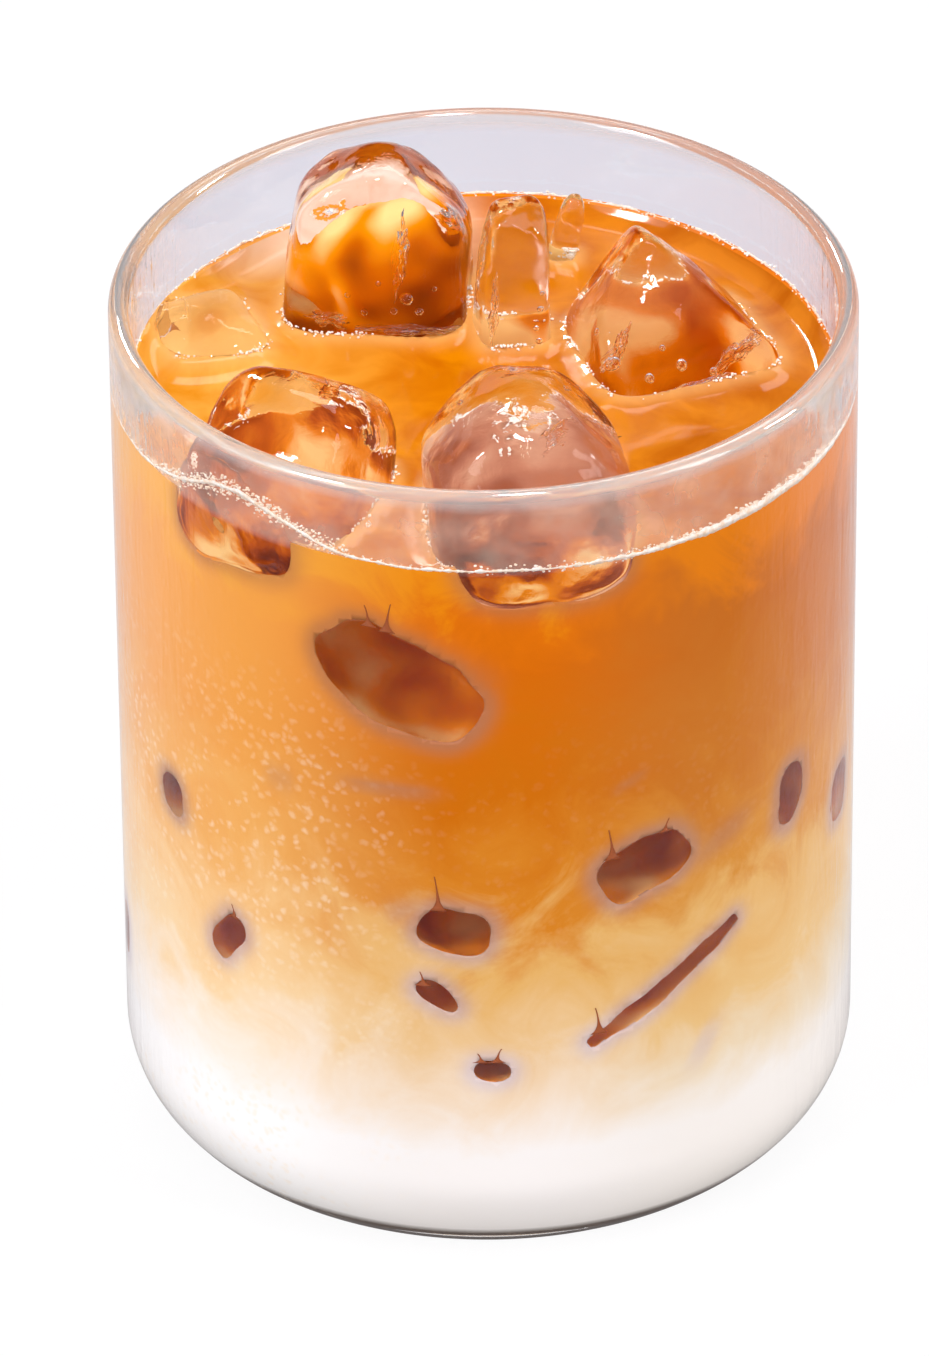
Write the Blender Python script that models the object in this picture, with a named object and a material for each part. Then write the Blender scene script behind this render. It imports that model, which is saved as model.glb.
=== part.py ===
"""An iced latte in a straight glass tumbler, 80 mm across and 100 mm tall.

The tumbler is one turned wall with a thick base and a rounded foot. It holds a layer of
white milk with a layer of milky coffee on top of it. Pieces of half melted ice stand in
the coffee, and each has its own hollow there. The origin is on the axis, under the base.
"""

from math import cos, pi, sin, radians

import bmesh
import bpy
from mathutils import Euler, Vector, noise

MM = 0.001

# The tumbler
GLASS_RADIUS = 40 * MM
GLASS_HEIGHT = 100 * MM
WALL = 2.2 * MM
BASE = 3.8 * MM
FOOT_ROUND = 9.9 * MM
TURN_STEPS = 72
CORNER_STEPS = 6
RIM_STEPS = 6

# The drink
GAP = 0.3 * MM
DRINK_RADIUS = GLASS_RADIUS - WALL - GAP
DRINK_BOTTOM = BASE + GAP
DRINK_ROUND = FOOT_ROUND - WALL - GAP
MILK_TOP = 21 * MM
DRINK_LEVEL = 88 * MM
MENISCUS_RISE = 1.8 * MM
MENISCUS_WIDTH = 3.2 * MM
MENISCUS_STEPS = 3

# The ice, in mm and degrees: a cube cut into a grid, rounded, dented as by melting, then
# turned and placed. size is across, deep and tall. square is 2 for an egg and 8 for a crisp
# block, and taper says how much narrower the top is. Each of the flats is a melted facet:
# a direction, and how far the ice reaches that way from its centre.
ICE_CUTS = 6
ICE_TO_WALL = GLASS_RADIUS - WALL - 2 * GAP
ICE_PIECES = {
    "ice_back_left": dict(
        size=(19.6, 16.5, 23.0), centre=(-11.0, 18.6, 95.2), turn=(-3, 3, -6),
        square=5.0, taper=0.06, dent=0.9, seed=3,
        flats=[((0.70, 0.2, 0.69), 9.2), ((-0.58, 0.2, 0.79), 10.2), ((0.0, 0.6, 0.8), 10.6)],
    ),
    "ice_back_middle": dict(
        size=(7.6, 8.0, 22.0), centre=(3.1, 11.6, 93.6), turn=(3, 2, 8),
        square=5.0, taper=0.08, dent=0.6, seed=11,
        flats=[((0.5, -0.4, 0.77), 9.0)],
    ),
    "ice_right": dict(
        size=(20.5, 19.0, 23.5), centre=(20.2, 8.4, 89.3), turn=(0, 0, 20),
        square=7.0, taper=0.0, dent=0.8, seed=5,
        flats=[((0.64, 0.33, 0.69), 6.9), ((-0.8, 0.0, 0.6), 9.4), ((0.05, -0.6, 0.8), 8.0)],
    ),
    "ice_left": dict(
        size=(12.5, 13.5, 12.0), centre=(-29.8, 11.4, 84.6), turn=(8, -6, 20),
        square=5.0, taper=0.03, dent=0.6, seed=8,
        flats=[],
    ),
    "ice_front_left": dict(
        size=(19.5, 21.0, 20.5), centre=(-20.2, -20.6, 91.6), turn=(-12, 6, -26),
        square=3.2, taper=0.05, dent=0.9, seed=14,
        flats=[((-0.35, -0.5, 0.79), 9.4), ((0.2, 0.7, 0.68), 9.2)],
    ),
    "ice_front_middle": dict(
        size=(22.0, 24.6, 22.5), centre=(4.4, -26.2, 93.0), turn=(-8, -4, 10),
        square=3.0, taper=0.06, dent=0.9, seed=21,
        flats=[((0.75, 0.15, 0.64), 9.2), ((-0.7, 0.1, 0.7), 10.0)],
    ),
    "ice_chip": dict(
        size=(3.0, 3.4, 11.0), centre=(9.0, 26.5, 91.2), turn=(4, 12, 0),
        square=3.0, taper=0.2, dent=0.3, seed=30,
        flats=[],
    ),
}
DENT_SPAN = 9 * MM
FACET_DOME = 0.12

# Finishes: colour, roughness, share of light let through
FINISHES = {
    "clear_glass": ((0.90, 0.93, 0.92), 0.02, 1.0),
    "whole_milk": ((0.94, 0.91, 0.86), 0.30, 0.0),
    "milky_coffee": ((0.78, 0.38, 0.10), 0.20, 0.0),
    "clear_ice": ((0.95, 0.96, 0.98), 0.04, 1.0),
}


def clear_scene():
    for old in list(bpy.data.objects):
        bpy.data.objects.remove(old)


def finish(name):
    material = bpy.data.materials.get(name)
    if material:
        return material
    colour, roughness, clear = FINISHES[name]
    material = bpy.data.materials.new(name)
    material.use_nodes = True
    shader = material.node_tree.nodes["Principled BSDF"]
    shader.inputs["Base Color"].default_value = (*colour, 1)
    shader.inputs["Roughness"].default_value = roughness
    shader.inputs["Metallic"].default_value = 0
    shader.inputs["Transmission Weight"].default_value = clear
    return material


def add_object(name, bm, finish_name):
    mesh = bpy.data.meshes.new(name)
    bm.to_mesh(mesh)
    bm.free()
    mesh.materials.append(finish(finish_name))
    mesh.shade_smooth()
    mesh.set_sharp_from_angle(angle=radians(40))
    obj = bpy.data.objects.new(name, mesh)
    bpy.context.scene.collection.objects.link(obj)
    return obj


def arc(centre_r, centre_z, radius, start, end, steps):
    """Points (r, z) of an arc. Angles are in degrees, 0 outwards and 90 up."""
    turned = [radians(start + (end - start) * i / steps) for i in range(steps + 1)]
    return [(centre_r + radius * cos(a), centre_z + radius * sin(a)) for a in turned]


def turned_body(profile):
    """A closed body turned about Z from points (r, z) that start and end on the axis."""
    bm = bmesh.new()
    points = [bm.verts.new((r, 0, z)) for r, z in profile]
    edges = [bm.edges.new(pair) for pair in zip(points, points[1:])]
    bmesh.ops.spin(
        bm, geom=points + edges, cent=(0, 0, 0), axis=(0, 0, 1), angle=2 * pi,
        steps=TURN_STEPS, use_merge=True, use_duplicate=False,
    )
    bmesh.ops.remove_doubles(bm, verts=bm.verts, dist=0.01 * MM)
    bmesh.ops.recalc_face_normals(bm, faces=bm.faces)
    return bm


def tumbler_profile():
    inner_radius = GLASS_RADIUS - WALL
    inner_round = FOOT_ROUND - WALL
    rim_radius = WALL / 2
    foot = arc(GLASS_RADIUS - FOOT_ROUND, FOOT_ROUND, FOOT_ROUND, -90, 0, CORNER_STEPS)
    rim = arc(GLASS_RADIUS - rim_radius, GLASS_HEIGHT - rim_radius, rim_radius, 0, 180, RIM_STEPS)
    well = arc(inner_radius - inner_round, BASE + inner_round, inner_round, 0, -90, CORNER_STEPS)
    return [(0, 0), *foot, *rim, *well, (0, BASE)]


def meniscus():
    """Points (r, z) where the drink's surface climbs the wall, from the wall inwards."""
    climb = []
    for step in range(MENISCUS_STEPS + 1):
        share = step / MENISCUS_STEPS
        rise = MENISCUS_RISE * (1 - share) ** 2
        climb.append((DRINK_RADIUS - MENISCUS_WIDTH * share, DRINK_LEVEL + rise))
    return climb


def add_drink(name, finish_name, bottom, top):
    """A layer of the drink: bottom and top are lists of points (r, z)."""
    return add_object(name, turned_body([(0, bottom[0][1]), *bottom, *top, (0, top[-1][1])]), finish_name)


def ice_mesh(size, centre, turn, square, taper, dent, seed, flats, grow=0.0):
    """One piece of ice. grow moves its surface outwards, for the hollow it stands in."""
    bm = bmesh.new()
    bmesh.ops.create_cube(bm, size=2)
    bmesh.ops.subdivide_edges(bm, edges=bm.edges[:], cuts=ICE_CUTS, use_grid_fill=True)
    half = Vector(size) * MM / 2
    for vert in bm.verts:
        vert.co /= sum(abs(x) ** square for x in vert.co) ** (1 / square)
        narrow = 1 - taper * vert.co.z
        vert.co = Vector((vert.co.x * narrow * half.x, vert.co.y * narrow * half.y, vert.co.z * half.z))
    turned = Euler([radians(a) for a in turn]).to_matrix()
    bmesh.ops.transform(bm, matrix=turned.to_4x4(), verts=bm.verts)
    for direction, reach in flats:
        flatten(bm, Vector(direction).normalized(), reach * MM)
    bm.normal_update()
    outward = [vert.normal.copy() for vert in bm.verts]
    offset = Vector((seed, seed * 0.7, -seed))
    for vert, normal in zip(bm.verts, outward):
        melted = noise.noise(vert.co / DENT_SPAN + offset) * dent * MM
        vert.co += normal * (melted + grow)
    bmesh.ops.translate(bm, vec=Vector(centre) * MM, verts=bm.verts)
    return bm


def flatten(bm, direction, reach):
    """Draws in the points that stick out beyond a facet, leaving it slightly domed."""
    for vert in bm.verts:
        beyond = vert.co.dot(direction) - reach
        if beyond > 0:
            vert.co -= direction * beyond * (1 - FACET_DOME)


def press_to_wall(bm):
    """Ice that leans on the glass has melted to its curve, so it stops short of the wall."""
    for vert in bm.verts:
        out = vert.co.xy.length
        if out > ICE_TO_WALL:
            vert.co.xy *= ICE_TO_WALL / out


def add_ice():
    """The pieces of ice, and a collection of the hollows that they stand in."""
    hollows = bpy.data.collections.new("hollows")
    for name, form in ICE_PIECES.items():
        ice = ice_mesh(**form)
        press_to_wall(ice)
        add_object(name, ice, "clear_ice")
        hollow = add_object(name + "_hollow", ice_mesh(**form, grow=GAP), "clear_ice")
        hollow.hide_render = True
        hollow.display_type = "WIRE"
        hollows.objects.link(hollow)
    return hollows


def cut(body, hollows):
    modifier = body.modifiers.new("hollows", "BOOLEAN")
    modifier.operation = "DIFFERENCE"
    modifier.operand_type = "COLLECTION"
    modifier.collection = hollows
    modifier.solver = "EXACT"


def main():
    clear_scene()
    add_object("tumbler", turned_body(tumbler_profile()), "clear_glass")
    hollows = add_ice()
    corner_r = DRINK_RADIUS - DRINK_ROUND
    well = arc(corner_r, DRINK_BOTTOM + DRINK_ROUND, DRINK_ROUND, -90, 0, CORNER_STEPS)
    add_drink("milk", "whole_milk", well, [(DRINK_RADIUS, MILK_TOP - GAP / 2)])
    coffee = add_drink("coffee", "milky_coffee", [(DRINK_RADIUS, MILK_TOP + GAP / 2)], meniscus())
    cut(coffee, hollows)


if __name__ == "__main__":
    main()
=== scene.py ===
# %% [markdown]
# # An iced latte in a straight tumbler
#
# This lesson dresses a solid model of an iced latte: clear soda-lime glass, milk under
# milky coffee, and half melted ice. The solids come in as a fixed frame, in metres, with
# +Z up and the glass standing on its origin. Everything below is placed from them.
# Drinks are mostly light passing through things, so the lesson spends its time on what
# touches what: glass on coffee, coffee on ice, ice on glass.

# %% Load the frame
import random
from math import atan2, cos, degrees, exp, hypot, pi, radians, sin

import bmesh
import bpy
from mathutils import Euler, Matrix, Vector, noise
from mathutils.bvhtree import BVHTree


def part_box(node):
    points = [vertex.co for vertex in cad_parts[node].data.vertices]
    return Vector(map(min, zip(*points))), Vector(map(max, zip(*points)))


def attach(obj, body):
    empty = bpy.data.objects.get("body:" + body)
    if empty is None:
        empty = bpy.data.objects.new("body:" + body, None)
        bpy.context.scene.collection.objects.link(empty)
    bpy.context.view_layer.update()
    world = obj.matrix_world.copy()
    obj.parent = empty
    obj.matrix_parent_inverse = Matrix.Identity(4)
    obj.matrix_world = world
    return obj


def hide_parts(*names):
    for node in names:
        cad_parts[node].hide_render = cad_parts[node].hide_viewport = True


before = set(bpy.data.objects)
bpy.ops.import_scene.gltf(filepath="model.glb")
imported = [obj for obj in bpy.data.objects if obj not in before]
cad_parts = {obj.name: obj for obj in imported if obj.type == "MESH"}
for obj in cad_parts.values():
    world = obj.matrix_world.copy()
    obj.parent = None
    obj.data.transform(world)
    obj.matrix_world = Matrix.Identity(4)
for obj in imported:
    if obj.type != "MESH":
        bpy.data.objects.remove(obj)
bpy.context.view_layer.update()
print("solids:", ", ".join(sorted(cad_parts)))

# %% [markdown]
# ## Sizes read from the frame
#
# The solids keep a 0.3 mm gap where the real things touch. Light would show that gap as
# a mirror-like skin of air, so the pieces made here reach a little into each other: the
# coffee and the ice into the glass, and the coffee into the ice. A ray that meets two
# surfaces in that order bends just as it would at one shared surface.

# %% Work out the sizes
MM = 0.001
GAP = 0.3 * MM
INTO_GLASS = 0.12 * MM
INTO_ICE = 0.10 * MM

glass_low, glass_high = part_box("tumbler")
milk_low, milk_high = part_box("milk")
coffee_low, coffee_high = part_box("coffee")

OUTER = glass_high.x
HEIGHT = glass_high.z
INNER = milk_high.x + GAP
FLOOR = milk_low.z - GAP
WALL = OUTER - INNER
FOOT_ROUND = 9.9 * MM
CLIMB = 1.8 * MM
LEVEL = coffee_high.z - CLIMB
print(f"glass {2 * OUTER / MM:.0f} x {HEIGHT / MM:.0f} mm, wall {WALL / MM:.1f} mm")
print(f"drink from {FLOOR / MM:.1f} to {LEVEL / MM:.0f} mm")

# %% [markdown]
# ## Colours, nodes and meshes
#
# Colours are written as they are seen on a screen, in hexadecimal, and one function
# turns them into the linear light values that a shader adds and multiplies. A second
# function adds a node with its settings, its values and its links in one call, so that
# a material reads from top to bottom like a recipe.

# %% Helpers for colours and nodes
def linear(hex_colour):
    """An sRGB hex colour such as F49F24 as linear red, green, blue and alpha."""
    parts = [int(hex_colour[i:i + 2], 16) / 255 for i in (0, 2, 4)]
    return (*[p / 12.92 if p <= 0.04045 else ((p + 0.055) / 1.055) ** 2.4 for p in parts], 1.0)


def add_node(tree, kind, settings=None, values=None, links=None, stops=None):
    """One node. values and links are by socket name or number, stops are a ramp's colours.

    A link comes from a socket, or from a node, which stands for its first output.
    """
    made = tree.nodes.new("ShaderNode" + kind)
    for name, value in (settings or {}).items():
        setattr(made, name, value)
    for socket, value in (values or {}).items():
        made.inputs[socket].default_value = value
    for socket, source in (links or {}).items():
        tree.links.new(getattr(source, "outputs", [source])[0], made.inputs[socket])
    if stops:
        ramp = made.color_ramp.elements
        while len(ramp) < len(stops):
            ramp.new(0.5)
        for element, (place, colour) in zip(ramp, stops):
            element.position = place
            element.color = linear(colour)
    return made


def new_material(name):
    material = bpy.data.materials.new(name)
    material.use_nodes = True
    material.node_tree.nodes.clear()
    return material, material.node_tree


# %% [markdown]
# Every shape is built as a bmesh, Blender's editable kind of mesh, and becomes an object
# when it is done. Round things are spun from a list of points (r, z), and a straight
# stretch of that list gets a point about every so many millimetres, because later steps
# move or colour the points in between.

# %% Helpers for meshes
def mesh_object(name, bm, *materials):
    """Turns a bmesh into a smooth object at the origin."""
    mesh = bpy.data.meshes.new(name)
    bm.to_mesh(mesh)
    bm.free()
    for material in materials:
        mesh.materials.append(material)
    mesh.shade_smooth()
    made = bpy.data.objects.new(name, mesh)
    bpy.context.scene.collection.objects.link(made)
    return made


def as_seen(piece):
    """The piece's mesh with its modifiers applied."""
    bpy.context.view_layer.update()
    graph = bpy.context.evaluated_depsgraph_get()
    mesh = bpy.data.meshes.new_from_object(piece.evaluated_get(graph))
    piece.modifiers.clear()
    piece.data = mesh
    return piece


def add_to(bm, part):
    """Adds one bmesh to another, through a mesh, and frees it."""
    mesh = bpy.data.meshes.new("part")
    part.to_mesh(mesh)
    part.free()
    bm.from_mesh(mesh)
    bpy.data.meshes.remove(mesh)


def triangles(piece):
    return sum(len(face.vertices) - 2 for face in piece.data.polygons)


def arc(centre_r, centre_z, radius, start, end, steps):
    """Points (r, z) of an arc. Angles are in degrees, 0 outwards and 90 up."""
    turned = [radians(start + (end - start) * i / steps) for i in range(steps + 1)]
    return [(centre_r + radius * cos(a), centre_z + radius * sin(a)) for a in turned]


def line(start, end, step):
    """Points from start to end, both included, about a step apart."""
    count = max(1, round(hypot(end[0] - start[0], end[1] - start[1]) / step))
    return [tuple(a + (b - a) * i / count for a, b in zip(start, end)) for i in range(count + 1)]


def turned_body(profile, steps):
    """A closed body turned about Z from points (r, z) that start and end on the axis."""
    bm = bmesh.new()
    points = [bm.verts.new((r, 0, z)) for r, z in profile]
    edges = [bm.edges.new(pair) for pair in zip(points, points[1:])]
    bmesh.ops.spin(
        bm, geom=points + edges, cent=(0, 0, 0), axis=(0, 0, 1), angle=2 * pi,
        steps=steps, use_merge=True, use_duplicate=False,
    )
    bmesh.ops.remove_doubles(bm, verts=bm.verts, dist=0.002 * MM)
    bmesh.ops.recalc_face_normals(bm, faces=bm.faces)
    return bm


# %% [markdown]
# ## The camera
#
# The picture was taken from about 1.3 m away with a long lens, looking down at 33
# degrees. A long lens keeps the glass's sides nearly parallel. The small shift puts the
# drink where it stands in the frame, and the small roll is the photographer's.

# %% Set up the camera
VIEW_DISTANCE = 1.28
VIEW_DOWN = 33.48
VIEW_ROLL = -0.44
LENS_MM = 312.1
AIM = Vector((0, 0, 48 * MM))
FRAME_PIXELS = (929, 1356)
AIM_PIXEL = (486.5, 702.6)

camera_data = bpy.data.cameras.new("camera")
camera_data.sensor_width = 36
camera_data.lens = LENS_MM
camera_data.clip_start = 0.01
camera_data.shift_x = (FRAME_PIXELS[0] / 2 - AIM_PIXEL[0]) / max(FRAME_PIXELS)
camera_data.shift_y = (AIM_PIXEL[1] - FRAME_PIXELS[1] / 2) / max(FRAME_PIXELS)
camera = bpy.data.objects.new("camera", camera_data)
bpy.context.scene.collection.objects.link(camera)
back = Vector((0, -cos(radians(VIEW_DOWN)), sin(radians(VIEW_DOWN))))
facing = Euler((radians(90 - VIEW_DOWN), 0, 0)).to_matrix() @ Euler((0, 0, radians(VIEW_ROLL))).to_matrix()
camera.matrix_world = Matrix.Translation(AIM + back * VIEW_DISTANCE) @ facing.to_4x4()
bpy.context.scene.camera = camera
print(f"camera shift {camera_data.shift_x:.4f}, {camera_data.shift_y:.4f}")

# %% [markdown]
# ## Letting lamps through glass and ice
#
# A path tracer finds lamps by sending a straight shadow ray to them, and real glass
# blocks that ray, because it bends light. What is inside a glass then renders nearly
# black. The usual cure is to let shadow rays, and the rays by which matt surfaces light
# each other, pass straight through, and to keep the true glass for what the eye sees.

# %% A surface that lamps shine through
def let_lamps_through(tree, surface):
    path = add_node(tree, "LightPath")
    either = add_node(
        tree, "Math", {"operation": "MAXIMUM"},
        links={0: path.outputs["Is Shadow Ray"], 1: path.outputs["Is Diffuse Ray"]},
    )
    clear = add_node(tree, "BsdfTransparent")
    mixed = add_node(tree, "MixShader", links={0: either, 1: surface, 2: clear})
    add_node(tree, "OutputMaterial", links={"Surface": mixed})


# %% [markdown]
# ## The glass
#
# The tumbler is pressed soda-lime glass with an IOR of about 1.52, and its rim has been
# melted smooth in a flame. It has a faint grey tint that shows only where you look along
# the wall. A cold drink makes the outside sweat: the damp runs down and leaves upright
# ripples, mostly at the sides, and specks of dew. Both are bump on the outer face only,
# and stop below the rim. On the inner face, above the coffee, the pour has left a film of
# milk on the front half, which adds a pale warm veil. The rim is looked through along
# its length, so it is painted grey green: partly the glass's own tint, and partly a painted
# reflection of the dim room, which lets less of the drink show through it.

# %% The glass material
RIPPLE = 2.2 * MM
DEW = 1.3 * MM
SMEAR = 6.0 * MM


def soda_lime_glass():
    material, tree = new_material("soda_lime_glass")
    place = add_node(tree, "TexCoord").outputs["Object"]
    axes = add_node(tree, "SeparateXYZ", links={0: place})
    flat = add_node(tree, "CombineXYZ", links={0: axes, 1: axes.outputs[1]})
    radius = add_node(tree, "VectorMath", {"operation": "LENGTH"}, links={0: flat})
    distance = radius.outputs["Value"]
    outside = add_node(
        tree, "MapRange", values={1: OUTER - 0.8 * MM, 2: OUTER - 0.4 * MM}, links={0: distance},
    )
    sideways = add_node(tree, "Math", {"operation": "ABSOLUTE"}, links={0: axes})
    sides = add_node(tree, "MapRange", values={1: 24 * MM, 2: 38 * MM, 3: 0.12, 4: 1.0}, links={0: sideways})
    stretched = add_node(tree, "Mapping", values={"Scale": (1.0, 1.0, 0.16)}, links={"Vector": place})
    runs = add_node(
        tree, "TexNoise", {}, {"Scale": 1 / RIPPLE, "Detail": 3.0, "Roughness": 0.55, "Distortion": 0.6},
        {"Vector": stretched},
    )
    dew = add_node(tree, "TexVoronoi", {}, {"Scale": 1 / DEW, "Randomness": 1.0}, {"Vector": place})
    drops = add_node(tree, "MapRange", values={1: 0.45, 2: 0.1}, links={0: dew.outputs["Distance"]})
    wet = add_node(tree, "Math", {"operation": "MULTIPLY"}, links={0: runs, 1: sides})
    specks = add_node(tree, "Math", {"operation": "MULTIPLY"}, values={1: 0.10}, links={0: drops})
    both = add_node(tree, "Math", {"operation": "ADD"}, links={0: wet, 1: specks})
    below_rim = add_node(
        tree, "MapRange", values={1: HEIGHT - 1.6 * MM, 2: HEIGHT - 4.0 * MM}, links={0: axes.outputs[2]},
    )
    height = both
    for mask in (outside, below_rim):
        height = add_node(tree, "Math", {"operation": "MULTIPLY"}, links={0: height, 1: mask})
    bump = add_node(tree, "Bump", values={"Strength": 0.5, "Distance": 0.25 * MM}, links={"Height": height})
    inner_face = add_node(
        tree, "MapRange", values={1: INNER + 0.5 * MM, 2: INNER + 0.3 * MM}, links={0: distance},
    )
    above_drink = add_node(
        tree, "MapRange", values={1: LEVEL + 1.2 * MM, 2: LEVEL + 2.2 * MM}, links={0: axes.outputs[2]},
    )
    smears = add_node(
        tree, "TexNoise", {}, {"Scale": 1 / SMEAR, "Detail": 3.0, "Roughness": 0.6}, {"Vector": place},
    )
    thick = add_node(tree, "MapRange", values={1: 0.3, 2: 0.7, 3: 0.11, 4: 0.33}, links={0: smears})
    in_front = add_node(tree, "MapRange", values={1: 6 * MM, 2: -12 * MM}, links={0: axes.outputs[1]})
    there = inner_face
    for mask in (above_drink, in_front):
        there = add_node(tree, "Math", {"operation": "MULTIPLY"}, links={0: there, 1: mask})
    film = add_node(tree, "Math", {"operation": "MULTIPLY"}, links={0: there, 1: thick})
    tint = add_node(
        tree, "Mix", {"data_type": "RGBA"}, {6: linear("F8F7FB"), 7: linear("FFEBD6")}, {0: there},
    )
    # Painted reflection: near the rim a matt grey-green share, partly the glass's own tint, partly standing
    # in for the dim room the rim shows.
    rim = add_node(
        tree, "MapRange", {"interpolation_type": "SMOOTHSTEP"},
        {1: HEIGHT - 2.4 * MM, 2: HEIGHT - 0.8 * MM, 4: 0.3}, {0: axes.outputs[2]},
    )
    toned = add_node(
        tree, "Mix", {"data_type": "RGBA"}, {7: linear("A8A292")}, {0: rim, 6: tint.outputs[2]},
    )
    veiled = add_node(tree, "Math", {"operation": "MAXIMUM"}, links={0: film, 1: rim})
    clear = add_node(tree, "Math", {"operation": "SUBTRACT"}, {0: 1.0}, {1: veiled})
    glass = add_node(
        tree, "BsdfPrincipled", values={"Roughness": 0.0, "IOR": 1.52},
        links={"Base Color": toned.outputs[2], "Normal": bump, "Transmission Weight": clear},
    )
    let_lamps_through(tree, glass)
    return material


# %% [markdown]
# The shape is a turned one: half of its outline, spun about the axis. The solid has
# flats that are fine for a check but show as stripes once light bends through them, so
# the same outline is spun again with four times as many steps.

# %% Spin the tumbler
GLASS_STEPS = 288


def tumbler_outline():
    inner_round = FOOT_ROUND - WALL
    bead = WALL / 2
    foot = arc(OUTER - FOOT_ROUND, FOOT_ROUND, FOOT_ROUND, -90, 0, 18)
    rim = arc(OUTER - bead, HEIGHT - bead, bead, 0, 180, 14)
    well = arc(INNER - inner_round, FLOOR + inner_round, inner_round, 0, -90, 16)
    outer_wall = line(foot[-1], rim[0], 4 * MM)[1:-1]
    inner_wall = line(rim[-1], well[0], 4 * MM)[1:-1]
    return [(0, 0), *foot, *outer_wall, *rim, *inner_wall, *well, (0, FLOOR)]


glass = mesh_object("tumbler_glass", turned_body(tumbler_outline(), GLASS_STEPS), soda_lime_glass())
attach(glass, "root")
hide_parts("tumbler")
print("tumbler_glass:", triangles(glass), "triangles")

# %% [markdown]
# ## Ice that stands above the drink
#
# Ice from a small ice machine starts as blocks with a thumb-sized hollow, and melts into
# soft shoulders, shallow dents and a few crisp ridges. The frame already holds the size
# and lean of each piece. A copy is merged into one skin, rounded by a subdivision
# surface, then dented again at two finer scales: 5 mm hollows, and 1.6 mm pits as
# flowing meltwater leaves. Where a piece leans on the wall it is drawn out to touch it.
# The body with hollows alone is kept too: it cuts the piece's place out of the drink.

# %% Refine the standing ice
ICE_NODES = sorted(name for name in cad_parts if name.startswith("ice_"))
HOLLOWS = (5.0 * MM, 0.30 * MM)
PITS = (1.6 * MM, 0.06 * MM)
ICE_REACH = INNER + INTO_GLASS + 0.03 * MM
LEANS_FROM = INNER - 1.4 * MM
SOLID_STOP = INNER - 0.6 * MM


def dent(bm, seed, *scales):
    """Moves each point along its normal by noise, once for each (span, depth)."""
    bm.normal_update()
    shift = Vector((seed * 3.1, -seed * 1.7, seed * 0.9))
    moves = []
    for vert in bm.verts:
        depth = sum(noise.noise(vert.co / span + shift) * deep for span, deep in scales)
        moves.append(vert.normal * depth)
    for vert, move in zip(bm.verts, moves):
        vert.co += move


def touch_wall(bm):
    """Draws the ice that stops just short of the wall out into it."""
    for vert in bm.verts:
        out = vert.co.xy.length
        if out > LEANS_FROM:
            share = min(1.0, (out - LEANS_FROM) / (SOLID_STOP - LEANS_FROM))
            vert.co.xy *= (out + share * share * (ICE_REACH - SOLID_STOP)) / out


def soften(piece, levels, seed, scale):
    """Subdivides the piece and dents it."""
    rounding = piece.modifiers.new("rounding", "SUBSURF")
    rounding.levels = rounding.render_levels = levels
    as_seen(piece)
    bm = bmesh.new()
    bm.from_mesh(piece.data)
    dent(bm, seed, scale)
    bm.to_mesh(piece.data)
    bm.free()


def merged_copy(node):
    """The solid's triangles as one skin of four-sided faces."""
    bm = bmesh.new()
    bm.from_mesh(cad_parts[node].data)
    bmesh.ops.remove_doubles(bm, verts=bm.verts, dist=0.01 * MM)
    bmesh.ops.join_triangles(
        bm, faces=bm.faces, angle_face_threshold=radians(60), angle_shape_threshold=radians(60),
    )
    return mesh_object(node + "_melted", bm)


standing = {}
ice_bodies = {}
for seed, node in enumerate(ICE_NODES):
    piece = merged_copy(node)
    soften(piece, 2, seed, HOLLOWS)
    bm = bmesh.new()
    bm.from_mesh(piece.data)
    ice_bodies[node] = bm
    soften(piece, 1, seed + 40, PITS)
    bm = bmesh.new()
    bm.from_mesh(piece.data)
    touch_wall(bm)
    bm.to_mesh(piece.data)
    bm.free()
    piece.data.shade_smooth()
    standing[node] = piece
print("standing ice:", {name: triangles(piece) for name, piece in standing.items()})

# %% [markdown]
# ## Ice sunk in the drink
#
# Most of the ice is under the coffee and can't be seen, because milk scatters light in a
# millimetre. It shows only where a corner or an edge melts against the wall, as a dark
# window into clear ice. Each block is therefore placed from its window: how far round
# and how high it is, how wide and tall, and how it leans. A block is a cube pulled
# towards a ball, pushed against the wall by the depth that gives its window that size.

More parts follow.
